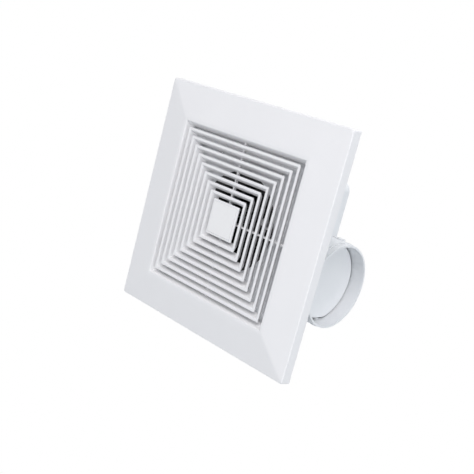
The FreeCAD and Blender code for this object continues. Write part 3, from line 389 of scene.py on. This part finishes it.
def plated_metal(name, colour, other, roughness, cell, stretch=None):
    made, start, place = finish(name)
    mottle = noise(place, cell, MOTTLE_DETAIL, stretch)
    return surface(made, start, {
        "Base Color": mottle.blend(colour, other), "Metallic": METAL,
        "Roughness": roughness + (mottle - MEAN) * MOTTLE_SWING}, mottle, MOTTLE_DEPTH)


def striped_metal(name, colour, groove, roughness, pitch):
    """Stripes across Z at that pitch: sheet edges in a core, or turns in a winding."""
    made, start, place = finish(name)
    bands = place.node("ShaderNodeTexWave", {"wave_type": "BANDS", "bands_direction": "Z"}, {
        "Vector": place, "Scale": WAVE_PERIOD / pitch, "Distortion": WAVE_WANDER, "Detail": WAVE_DETAIL})
    patches = noise(place, STRIPE_PATCH, STRIPE_DETAIL)
    ridges = bands * STRIPE_SHARE + patches * STRIPE_PATCH_SHARE
    return surface(made, start, {
        "Base Color": ridges.blend(groove, colour), "Metallic": METAL,
        "Roughness": roughness + (patches - MEAN) * STRIPE_SWING}, bands, STRIPE_DEPTH)


zinc_steel = plated_metal(
    "zinc_steel", (0.56, 0.57, 0.59), (0.72, 0.72, 0.71), roughness=0.30, cell=0.003)
spring_steel = plated_metal(
    "spring_steel", (0.50, 0.51, 0.53), (0.66, 0.66, 0.66), roughness=0.26, cell=0.002, stretch=ALONG_WIRE)
bearing_bronze = plated_metal(
    "bearing_bronze", (0.50, 0.33, 0.15), (0.62, 0.44, 0.22), roughness=0.42, cell=0.0012)
core_steel = striped_metal(
    "core_steel", (0.50, 0.50, 0.51), (0.16, 0.16, 0.17), roughness=0.42, pitch=0.0010)
winding_copper = striped_metal(
    "winding_copper", (0.62, 0.27, 0.10), (0.20, 0.07, 0.03), roughness=0.30, pitch=0.0009)
print("metals ready")

# %% [markdown]
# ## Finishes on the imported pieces
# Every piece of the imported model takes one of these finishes. A table of finish and pieces is easier to
# check than a line for each piece, and the last line of the cell names any piece that was forgotten.

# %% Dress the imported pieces
FINISHES = {
    panel_white: ["panel_frame", "louvre_grille"],
    badge_white: ["centre_badge"],
    housing_white: ["housing_shell", "scroll_wall", "inlet_plate", "duct_spigot"],
    flap_white: ["damper_flap"],
    wheel_black: ["impeller", "inlet_ring"],
    box_black: ["terminal_box", "terminal_lid"],
    shield_paint: ["motor_lower_shield", "motor_upper_shield"],
    zinc_steel: ["inlet_screws", "spigot_screws", "motor_screws", "lid_screws", "box_screws",
                 "motor_shaft", "impeller_washer", "impeller_nut", "damper_axle"],
    spring_steel: ["panel_springs"],
    core_steel: ["stator_core", "rotor_core"],
    winding_copper: ["stator_windings"],
    bearing_bronze: ["lower_bearing", "upper_bearing"],
    grommet_rubber: ["motor_grommets", "cable_grommet"],
    gasket_foam: ["spigot_gasket"],
    block_white: ["terminal_block"],
    capacitor_case: ["run_capacitor"],
}
FINISH_OF = {node: paint for paint, members in FINISHES.items() for node in members}
for name, paint in FINISH_OF.items():
    nodes[name].data.materials.clear()
    nodes[name].data.materials.append(paint)
print("pieces with no finish:", sorted(set(nodes) - set(FINISH_OF)))

# %% [markdown]
# ## Pieces of our own
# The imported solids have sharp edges, and a moulding's never are: a soft edge is what catches the light.
# Pieces that show are therefore modelled again. `hand_over` turns a bmesh into a piece that rides on
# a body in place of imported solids. Rounding could be cut into the mesh, but `round_edges` adds a live
# Bevel modifier, which keeps the mesh simple, and weighted normals so that the flats still shade flat.

# %% Helpers for new pieces
MM = 0.001
CRISP = math.radians(35)
ROUND_PROFILE = 0.5
record = frame["record"]
BODY_OF = {node: body for body, members in record["behaviour"]["bodies"].items() for node in members}


def hand_over(name, mesh, *stands_for):
    """A finished bmesh as a piece with the finish and body of the solids it stands for, which it hides."""
    first = stands_for[0]
    data = bpy.data.meshes.new(name)
    mesh.to_mesh(data)
    mesh.free()
    data.shade_smooth()
    data.materials.append(FINISH_OF[first])
    made = bpy.data.objects.new(name, data)
    bpy.context.scene.collection.objects.link(made)
    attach(made, BODY_OF[first])
    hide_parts(*stands_for)
    return made


def round_edges(piece, width, steps=3, weighted=False):
    """Round every edge sharper than 35 degrees, or the edges with a bevel weight."""
    bevel = piece.modifiers.new("round_edges", "BEVEL")
    bevel.width = width * MM
    bevel.segments = steps
    bevel.profile = ROUND_PROFILE
    bevel.limit_method = "WEIGHT" if weighted else "ANGLE"
    bevel.angle_limit = CRISP
    bevel.use_clamp_overlap = not weighted
    flats = piece.modifiers.new("flat_shading", "WEIGHTED_NORMAL")
    flats.keep_sharp = True
    print(piece.name, len(piece.data.polygons), "faces before rounding")


# %% [markdown]
# ## Square mouldings
# The frame and every slat of the grille are square rings with mitred corners. Boxes could be joined at
# 45 degrees, but a lathe does it in one go: an outline that stands on the diagonal and is spun in four
# steps gives straight sides and true mitres. Each point of the outline also says how far its long edge
# and its mitre are rounded. That becomes the edges' bevel weight, in which 1 stands for `WIDEST`.

# %% Square mouldings
SIDES = 4
WIDEST = 3.0
BROKEN_EDGE = 0.15
SEAM = 0.001
DIGITS = 2
BEVEL_WEIGHT = "bevel_weight_edge"


def square_moulding(mesh, outline, closed=True):
    """Carry an outline round a square. A point of it is (half side, level, rounding of the long edge,
    rounding of the mitre up to the next point), all in millimetres."""
    weight = mesh.edges.layers.float.get(BEVEL_WEIGHT) or mesh.edges.layers.float.new(BEVEL_WEIGHT)
    old = set(mesh.edges)
    row = [mesh.verts.new(Vector((half, half, level)) * MM) for half, level, _, _ in outline]
    lines = [mesh.edges.new(pair) for pair in zip(row, row[1:])]
    if closed:
        lines.append(mesh.edges.new((row[-1], row[0])))
    bmesh.ops.spin(mesh, geom=row + lines, cent=(0, 0, 0), axis=(0, 0, 1),
                   angle=math.tau, steps=SIDES, use_merge=True)
    spots = {(round(half, DIGITS), round(level, DIGITS)): spot
             for spot, (half, level, _, _) in enumerate(outline)}
    for edge in set(mesh.edges) - old:
        first, second = sorted(spots[round(abs(end.co.x) / MM, DIGITS), round(end.co.z / MM, DIGITS)]
                               for end in edge.verts)
        start = first if second == first + 1 else second
        _, _, long_edge, mitre = outline[start]
        edge[weight] = (long_edge if first == second else mitre) / WIDEST


def block(mesh, low, high):
    """A box between two corners, in millimetres."""
    low, high = Vector(low) * MM, Vector(high) * MM
    bmesh.ops.create_cube(mesh, size=1, matrix=Matrix.Translation((low + high) / 2)
                          @ Matrix.Diagonal((*(high - low), 1)))


def outward(mesh):
    """Merge a spin's seams, turn the faces outwards and, in a mesh with bevel weights, break every
    sharp edge that has none."""
    bmesh.ops.remove_doubles(mesh, verts=mesh.verts, dist=SEAM * MM)
    bmesh.ops.recalc_face_normals(mesh, faces=mesh.faces)
    weight = mesh.edges.layers.float.get(BEVEL_WEIGHT)
    if weight is None:
        return
    for edge in mesh.edges:
        if edge[weight] == 0 and edge.calc_face_angle(0) > CRISP:
            edge[weight] = BROKEN_EDGE / WIDEST


print("a bevel weight of 1 is", WIDEST, "mm")

# %% [markdown]
# ## Panel frame
# The frame is one moulding: a skirt that stands on the ceiling, four sloping faces that meet in soft
# mitres, and a flat border round the grille, whose opening narrows a little as moulds need it. It could
# be a plane that is inset and pulled, but one outline carried round the square shows all its walls at
# once. Behind two of its sides stands a pair of lugs with a pin between them, where a spring hangs.

# %% Panel frame
panel_low, panel_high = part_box("panel_frame")
PANEL_HALF = panel_high.x / MM
FACE = panel_low.z / MM
SKIRT_DEPTH = 12.5
SKIRT_DRAFT = 0.8
WALL = 2.4
BORDER_HALF = 99.0
OPENING_HALF = 95.2
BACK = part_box("louvre_grille")[1].z / MM
SLAT_LEAN = 7.5
LEAN = SLAT_LEAN / (BACK - FACE)
SEAT = FACE + WALL
SEAT_HALF = 104.6
SKIRT_FOOT_EDGE = 0.4
SKIRT_CORNER = 2.0
SKIRT_EDGE = 1.2
FACE_CORNER = 2.4
BORDER_EDGE = 0.9
OPENING_EDGE = 0.7
OPENING_CORNER = 0.4
INNER_EDGE = 1.0
INNER_CORNER = 0.9
INNER_FOOT_EDGE = 0.3
FRAME_STEPS = 5
SPRING_X = 35.0
SPRING_Y = 107.0
LUG_HALF = 4.0
LUG_NEAR = 1.8
LUG_FAR = 3.8
LUG_ROOT = 0.4
PIN_LEVEL = -8.8
PIN_RADIUS = 1.8
PIN_SIDES = 24

mesh = bmesh.new()
square_moulding(mesh, [
    (PANEL_HALF, 0, SKIRT_FOOT_EDGE, SKIRT_CORNER),
    (PANEL_HALF - SKIRT_DRAFT, -SKIRT_DEPTH, SKIRT_EDGE, FACE_CORNER),
    (BORDER_HALF, FACE, BORDER_EDGE, 0),
    (OPENING_HALF, FACE, OPENING_EDGE, OPENING_CORNER),
    (OPENING_HALF - LEAN * WALL, SEAT, 0, 0),
    (SEAT_HALF, SEAT, 0, 0),
    (PANEL_HALF - SKIRT_DRAFT - WALL, WALL - SKIRT_DEPTH, INNER_EDGE, INNER_CORNER),
    (PANEL_HALF - WALL, 0, INNER_FOOT_EDGE, INNER_CORNER)])
for side in (-1, 1):
    x, y = -side * SPRING_X, side * SPRING_Y
    for near, far in ((LUG_NEAR, LUG_FAR), (-LUG_FAR, -LUG_NEAR)):
        block(mesh, (x - LUG_HALF, y + near, SEAT - LUG_ROOT),
              (x + LUG_HALF, y + far, PIN_LEVEL + PIN_RADIUS))
    across = Matrix.Translation(Vector((x, y, PIN_LEVEL)) * MM) @ Matrix.Rotation(math.pi / 2, 4, "X")
    bmesh.ops.create_cone(mesh, cap_ends=True, segments=PIN_SIDES, radius1=PIN_RADIUS * MM,
                          radius2=PIN_RADIUS * MM, depth=2 * LUG_FAR * MM, matrix=across)
outward(mesh)
round_edges(hand_over("moulded_frame", mesh, "panel_frame"), WIDEST, FRAME_STEPS, weighted=True)

# %% [markdown]
# ## Louvre grille
# Eight square slats lean inwards, so that the eye can hardly look straight into the fan. An Array
# modifier could repeat and shrink one ring, but would shrink its wall as well, so a loop makes each in
# its own size. Their fronts stand a little behind the frame's face and are wider than their backs, with
# rounded edges, as drafted mouldings have them. One more carries on the wall of the frame's opening.
# A cross of ribs, further back, ties the slats to the blank plate in the middle, which overhangs its
# own skirt and has a seat for a plain badge. A lip behind the frame carries the whole.

# %% Louvre grille
RINGS = 8
LOUVRE_HALF = 95.0
REAR = FACE + 10.0
SLAT_WIDTH = 2.6
SLAT_FRONT = 3.4
SLAT_NOSE = 0.5
SLAT_REAR_EDGE = 0.4
SLAT_INNER_CORNER = 0.4
SLAT_OUTER_CORNER = 0.9
PLATE = FACE + 1.0
PLATE_HALF = 20.6
PLATE_THICK = 2.0
PLATE_OVERHANG = 6.0
PLATE_EDGE = 0.8
PLATE_ROOT = 0.3
BADGE_SEAT_HALF = 18.15
BADGE_SEAT = PLATE + 0.6
BADGE_SEAT_EDGE = 0.2
LIP_HALF = 102.2
LIP_THICK = 1.4
LIP_EDGE = 0.3
RIB_HALF = 0.9
RIB = FACE + 6.0
GRILLE_STEPS = 3


def slat(mesh, front, level, width=SLAT_FRONT, nose=SLAT_NOSE):
    """A leaning square ring from a level back to the grille's rear, front being its outer half side."""
    rear = front - LEAN * (REAR - level)
    square_moulding(mesh, [
        (front, level, nose, 0),
        (front - width, level, nose, SLAT_INNER_CORNER),
        (rear - SLAT_WIDTH, REAR, SLAT_REAR_EDGE, 0),
        (rear, REAR, SLAT_REAR_EDGE, SLAT_OUTER_CORNER)])


mesh = bmesh.new()
gap = (LOUVRE_HALF - PLATE_HALF - RINGS * SLAT_WIDTH) / (RINGS + 1)
slat(mesh, OPENING_HALF - LEAN * WALL + SLAT_WIDTH, SEAT, width=SLAT_WIDTH, nose=0)
for ring in range(RINGS):
    slat(mesh, LOUVRE_HALF - gap - ring * (gap + SLAT_WIDTH), PLATE)
slat(mesh, PLATE_HALF - PLATE_OVERHANG, PLATE + PLATE_THICK - PLATE_ROOT, width=SLAT_WIDTH, nose=0)
square_moulding(mesh, [
    (LOUVRE_HALF, SEAT, 0, 0),
    (LIP_HALF, SEAT, LIP_EDGE, 0),
    (LIP_HALF, SEAT + LIP_THICK, LIP_EDGE, 0),
    (LOUVRE_HALF, SEAT + LIP_THICK, 0, 0)])
square_moulding(mesh, [
    (0, BADGE_SEAT, 0, 0),
    (BADGE_SEAT_HALF, BADGE_SEAT, 0, 0),
    (BADGE_SEAT_HALF, PLATE, BADGE_SEAT_EDGE, 0),
    (PLATE_HALF, PLATE, PLATE_EDGE, PLATE_EDGE),
    (PLATE_HALF, PLATE + PLATE_THICK, 0, 0),
    (0, PLATE + PLATE_THICK, 0, 0)], closed=False)
for long, wide in ((LOUVRE_HALF, RIB_HALF), (RIB_HALF, LOUVRE_HALF)):
    block(mesh, (-long, -wide, RIB), (long, wide, REAR))
outward(mesh)
round_edges(hand_over("moulded_grille", mesh, "louvre_grille"), WIDEST, GRILLE_STEPS, weighted=True)

# %% [markdown]
# ## Rubber grommets
# The motor hangs on three rubber grommets that are pulled through holes in its ears, and a larger one
# closes the hole for the supply cable. Each is a turned shape with a waist that grips the sheet. It
# could be stacked from cylinders, but an outline spun about its own axis gives it without inner walls.
# The corners are rounded, because rubber has no sharp ones.

# %% Rubber grommets
AROUND = 40
EARS = 3
EAR_SHEET = 1.2
EAR_SCREW = 1.7
EAR_WAIST = 4.2
EAR_FLANGE = 6.0
EAR_FOOT = 3.0
EAR_EDGE = 0.5
BUSH_HOLE = 4.0
BUSH_WAIST = 6.2
BUSH_COLLAR = 3.0
BUSH_TAPER = 0.9
BUSH_REAR_STEP = 0.66
BUSH_REAR_TAPER = 1.3
BUSH_EDGE = 0.6
BOX_WALL = 2.0


def turned(mesh, outline, place, axis):
    """Spin an outline of (radius, distance along the axis), in millimetres, about an axis through place."""
    across = axis.orthogonal().normalized()
    row = [mesh.verts.new(place + (across * radius + axis * along) * MM) for radius, along in outline]
    lines = [mesh.edges.new(pair) for pair in zip(row, row[1:] + row[:1])]
    bmesh.ops.spin(mesh, geom=row + lines, cent=place, axis=axis,
                   angle=math.tau, steps=AROUND, use_merge=True)


low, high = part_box("motor_grommets")
ear = Vector((0, low.y + EAR_FLANGE * MM, low.z))
tall = (high.z - low.z) / MM
mesh = bmesh.new()
for spot in range(EARS):
    turned(mesh, [
        (EAR_SCREW, 0), (EAR_FLANGE, 0), (EAR_FLANGE, EAR_FOOT), (EAR_WAIST, EAR_FOOT),
        (EAR_WAIST, EAR_FOOT + EAR_SHEET), (EAR_FLANGE, EAR_FOOT + EAR_SHEET),
        (EAR_FLANGE, tall), (EAR_SCREW, tall)],
        Matrix.Rotation(math.tau * spot / EARS, 3, "Z") @ ear, Vector((0, 0, 1)))
outward(mesh)
round_edges(hand_over("ear_grommets", mesh, "motor_grommets"), EAR_EDGE)

low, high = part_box("cable_grommet")
collar = (high.z - low.z) / 2 / MM
long = (high.x - low.x) / MM
mesh = bmesh.new()
turned(mesh, [
    (BUSH_HOLE, 0), (collar - BUSH_TAPER, 0), (collar, BUSH_COLLAR), (BUSH_WAIST, BUSH_COLLAR),
    (BUSH_WAIST, BUSH_COLLAR + BOX_WALL), (collar - BUSH_REAR_STEP, BUSH_COLLAR + BOX_WALL),
    (collar - BUSH_REAR_TAPER, long), (BUSH_HOLE, long)],
    Vector((low.x, (low.y + high.y) / 2, (low.z + high.z) / 2)), Vector((1, 0, 0)))
outward(mesh)
round_edges(hand_over("cable_bush", mesh, "cable_grommet"), BUSH_EDGE)

# %% [markdown]
# ## Foam gasket
# A strip of foam between the duct spigot's collar and the housing keeps the joint tight. It is pressed
# flat, so only a thin edge shows, and that edge bulges. A boolean could cut the hole, but leaves long
# thin faces. Here a square with rounded corners is bridged to the round hole, given its thickness, and
# rounded over most of it.

# %% Foam gasket
COLLAR_CORNER = 22.0
CORNER_STEPS = 14
OUTLET_RADIUS = 45.0
BULGE = 0.3
FOAM_EDGE = 0.35

low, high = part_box("spigot_gasket")
mesh = bmesh.new()
bmesh.ops.create_grid(mesh, x_segments=1, y_segments=1, size=(high.y - low.y) / 2 + BULGE * MM)
bmesh.ops.bevel(mesh, geom=mesh.verts[:], offset=COLLAR_CORNER * MM, affect="VERTICES",
                segments=CORNER_STEPS, profile=ROUND_PROFILE, material=-1)
bmesh.ops.delete(mesh, geom=mesh.faces[:], context="FACES_ONLY")
bmesh.ops.create_circle(mesh, segments=len(mesh.verts), radius=OUTLET_RADIUS * MM)
bmesh.ops.bridge_loops(mesh, edges=mesh.edges[:])
bmesh.ops.transform(mesh, verts=mesh.verts[:], matrix=Matrix.Translation((low + high) / 2)
                    @ Matrix.Rotation(math.pi / 2, 4, "Y"))
outward(mesh)
foam = hand_over("foam_gasket", mesh, "spigot_gasket")
strip = foam.modifiers.new("thickness", "SOLIDIFY")
strip.thickness = high.x - low.x
strip.offset = 0.0
round_edges(foam, FOAM_EDGE)

# %% [markdown]
# ## Softened mouldings
# The housing, the spigot, its flap, the terminal box and its lid have the right shape already, only
# with sharp edges. Modelling them again would risk other sizes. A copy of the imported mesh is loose
# triangles, which a bevel can't follow, but once they are merged into flat faces it rounds like the rest.

# %% Softened copies
WELD = 0.002
FLAT = math.radians(0.5)
SOFT_STEPS = 2


def softened(name, node, width):
    """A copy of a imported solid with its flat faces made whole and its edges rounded."""
    mesh = bmesh.new()
    mesh.from_mesh(nodes[node].data)
    bmesh.ops.remove_doubles(mesh, verts=mesh.verts, dist=WELD * MM)
    bmesh.ops.dissolve_limit(mesh, angle_limit=FLAT, use_dissolve_boundaries=False,
                             verts=mesh.verts[:], edges=mesh.edges[:], delimit=set())
    round_edges(hand_over(name, mesh, node), width, SOFT_STEPS)


softened("rounded_spigot", "duct_spigot", width=0.4)
softened("rounded_flap", "damper_flap", width=0.3)
softened("rounded_housing", "housing_shell", width=0.5)
softened("rounded_box", "terminal_box", width=0.4)
softened("rounded_lid", "terminal_lid", width=0.4)

# %% [markdown]
# ## End
# The last cell only reports that the scene is built. The dressed model has to stay in the
# imported model's box.

# %% End
print("scene built")
